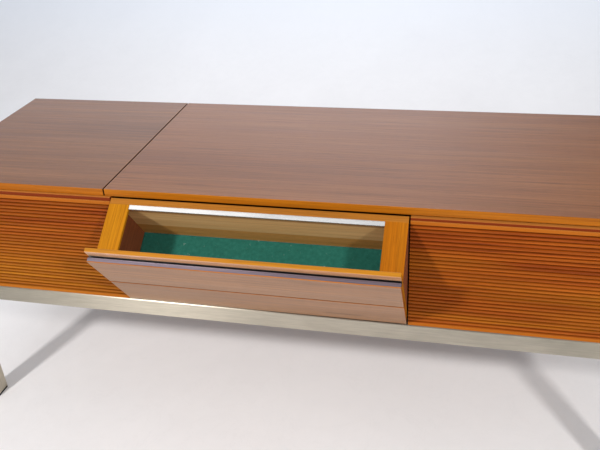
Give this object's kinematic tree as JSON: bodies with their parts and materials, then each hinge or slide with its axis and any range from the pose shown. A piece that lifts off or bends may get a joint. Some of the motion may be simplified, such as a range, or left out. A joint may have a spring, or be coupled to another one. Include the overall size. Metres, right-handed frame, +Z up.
{
  "type": "radio phonograph console",
  "caption": "Low walnut radiogram sideboard on a square steel tube frame, with a hinged lid over the record deck and dial, ribbed speaker fronts and a felt-lined tilting centre bin.",
  "frame": {"origin": "middle of the overall footprint on the floor, bin open as stored", "axes": "+X along the front to the viewer's right, -Y towards the viewer in front, +Z up"},
  "size_m": [1.568, 0.652, 0.63],
  "materials": {
    "walnut_veneer": "oiled walnut veneer, satin sheen",
    "walnut_solid": "orange-brown solid edge and ribbed wood, satin",
    "inner_wood": "plain plywood and chipboard",
    "steel_frame": "brushed nickel-plated square tube",
    "steel": "zinc-plated",
    "aluminium": "brushed, clear anodised",
    "black_rubber": "matt",
    "black_plastic": "matt",
    "cloth": "woven loudspeaker cloth",
    "felt": "green felt",
    "brass": "satin",
    "painted": "dark grey enamel",
    "cone_paper": "matt paper pulp",
    "chrome": "polished",
    "glass": "clear",
    "red_plastic": "gloss",
    "hardboard": "brown hardboard",
    "ivory_plastic": "gloss"
  },
  "bodies": {
    "cabinet": {"frame_front_rail": "steel_frame", "frame_rear_rail": "steel_frame", "frame_side_rails": "steel_frame", "frame_legs": "steel_frame", "foot_glides": "black_rubber", "bottom_board": "inner_wood", "end_panel_left": "walnut_veneer", "end_panel_right": "walnut_veneer", "divider_left": "inner_wood", "divider_right": "inner_wood", "rear_top_rails": "inner_wood", "back_panel": "hardboard", "back_panel_screws": "steel", "fixed_top": "walnut_veneer", "grille_left": "walnut_solid", "grille_right": "walnut_solid", "grille_cloths": "cloth", "speaker_baffles": "inner_wood", "loudspeaker_chassis": "painted", "loudspeaker_cones": "cone_paper", "bin_pivot_brackets": "steel", "lid_hinge_base_leaf": "brass", "deck_board": "inner_wood", "deck_plate": "painted", "tonearm_base": "chrome", "arm_rest": "black_plastic", "motor": "steel", "control_panel": "aluminium", "dial_glass": "glass", "tuner_chassis": "steel", "amplifier_chassis": "steel", "power_transformer": "painted", "rear_socket_panel": "black_plastic"},
    "bin": {"bin_front_panel": "walnut_solid", "bin_upper_board": "walnut_veneer", "bin_lower_board": "walnut_veneer", "bin_pull_channel": "aluminium", "bin_side_walls": "inner_wood", "bin_back_wall": "inner_wood", "bin_floor": "inner_wood", "bin_felt": "felt", "bin_back_batten": "inner_wood", "bin_rim": "walnut_solid", "bin_alu_trim": "aluminium", "bin_stop_pegs": "steel"},
    "lid": {"left_lid": "walnut_veneer", "lid_hinge_lid_leaf": "brass"},
    "turntable": {"platter": "aluminium", "platter_mat": "black_rubber"},
    "arm_pivot": {"tonearm_yoke": "chrome"},
    "arm": {"tonearm": "aluminium"},
    "speed_lever": {"speed_lever": "black_plastic"},
    "tuning_knob": {"tuning_knob": "aluminium"},
    "pointer": {"dial_pointer": "red_plastic"},
    "volume_knob": {"volume_knob": "aluminium"},
    "tone_knob": {"tone_knob": "aluminium"},
    "button_1": {"push_button_1": "ivory_plastic"},
    "button_2": {"push_button_2": "ivory_plastic"},
    "button_3": {"push_button_3": "ivory_plastic"},
    "button_4": {"push_button_4": "ivory_plastic"}
  },
  "joints": [
    {"name": "bin_tilt", "type": "hinge", "parent": "cabinet", "child": "bin", "pos_m": [0, -0.18785, 0.37294], "axis": [1, 0, 0], "range_deg": [-36.2, 0]},
    {"name": "lid_hinge", "type": "hinge", "parent": "cabinet", "child": "lid", "pos_m": [-0.548, 0.31363, 0.6114], "axis": [-1, 0, 0], "range_deg": [0, 82]},
    {"name": "platter_spin", "type": "hinge", "parent": "cabinet", "child": "turntable", "pos_m": [-0.602, 0.12603, 0.545], "axis": [0, 0, -1], "continuous": true},
    {"name": "arm_swing", "type": "hinge", "parent": "cabinet", "child": "arm_pivot", "pos_m": [-0.392, 0.18603, 0.55], "axis": [0, 0, -1], "range_deg": [0, 60]},
    {"name": "arm_lift", "type": "hinge", "parent": "arm_pivot", "child": "arm", "pos_m": [-0.392, 0.18603, 0.568], "axis": [-1, 0, 0], "range_deg": [0, 7]},
    {"name": "speed_select", "type": "hinge", "parent": "cabinet", "child": "speed_lever", "pos_m": [-0.452, -0.03197, 0.537], "axis": [0, 0, 1], "range_deg": [-35, 35]},
    {"name": "tuning_turn", "type": "hinge", "parent": "cabinet", "child": "tuning_knob", "pos_m": [-0.374, -0.11297, 0.559], "axis": [0, 0, -1], "range_deg": [-900, 900]},
    {"name": "pointer_slide", "type": "slide", "parent": "cabinet", "child": "pointer", "axis": [1, 0, 0], "range_m": [-0.096, 0.096]},
    {"name": "volume_turn", "type": "hinge", "parent": "cabinet", "child": "volume_knob", "pos_m": [-0.436, -0.11297, 0.559], "axis": [0, 0, -1], "range_deg": [0, 270]},
    {"name": "tone_turn", "type": "hinge", "parent": "cabinet", "child": "tone_knob", "pos_m": [-0.492, -0.11297, 0.559], "axis": [0, 0, -1], "range_deg": [-135, 135]},
    {"name": "button_1_press", "type": "slide", "parent": "cabinet", "child": "button_1", "axis": [0, 0, 1], "range_m": [-0.004, 0], "stiffness_N_per_m": 300, "springref_m": 0.002},
    {"name": "button_2_press", "type": "slide", "parent": "cabinet", "child": "button_2", "axis": [0, 0, 1], "range_m": [-0.004, 0], "stiffness_N_per_m": 300, "springref_m": 0.002},
    {"name": "button_3_press", "type": "slide", "parent": "cabinet", "child": "button_3", "axis": [0, 0, 1], "range_m": [-0.004, 0], "stiffness_N_per_m": 300, "springref_m": 0.002},
    {"name": "button_4_press", "type": "slide", "parent": "cabinet", "child": "button_4", "axis": [0, 0, 1], "range_m": [-0.004, 0], "stiffness_N_per_m": 300, "springref_m": 0.002}
  ],
  "couplings": [
    {"joint": "pointer_slide", "follows": "tuning_turn", "m_per_rad": 0.005984}
  ]
}
